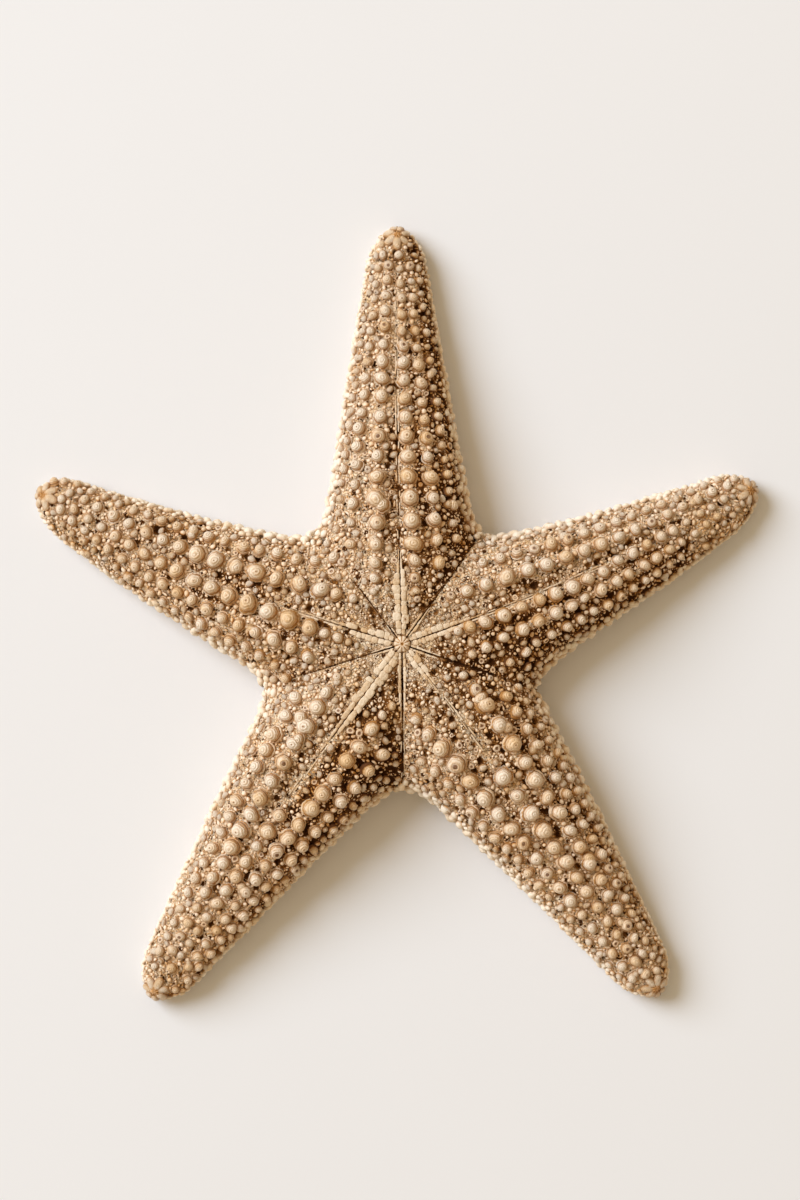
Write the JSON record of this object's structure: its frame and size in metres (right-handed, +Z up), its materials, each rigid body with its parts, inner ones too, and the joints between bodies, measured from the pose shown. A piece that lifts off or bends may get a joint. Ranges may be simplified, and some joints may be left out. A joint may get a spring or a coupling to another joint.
{
  "type": "dried starfish",
  "caption": "Dried, knobbly starfish lying flat on its underside, with tapering blunt arms that curve slightly and furrows below that meet at the mouth.",
  "frame": {"origin": "centre of the box's bottom face, on the surface that the starfish rests on", "axes": "+Z up out of the back, +Y along the arm that points up the picture, +X to the right of it seen from above"},
  "size_m": [0.1406, 0.1506, 0.0185],
  "materials": {
    "dry_bone": "dry and matt, pale cream knobs over tan skin with brown dirt in the valleys"
  },
  "bodies": {
    "root": {"starfish": "dry_bone"}
  },
  "joints": []
}
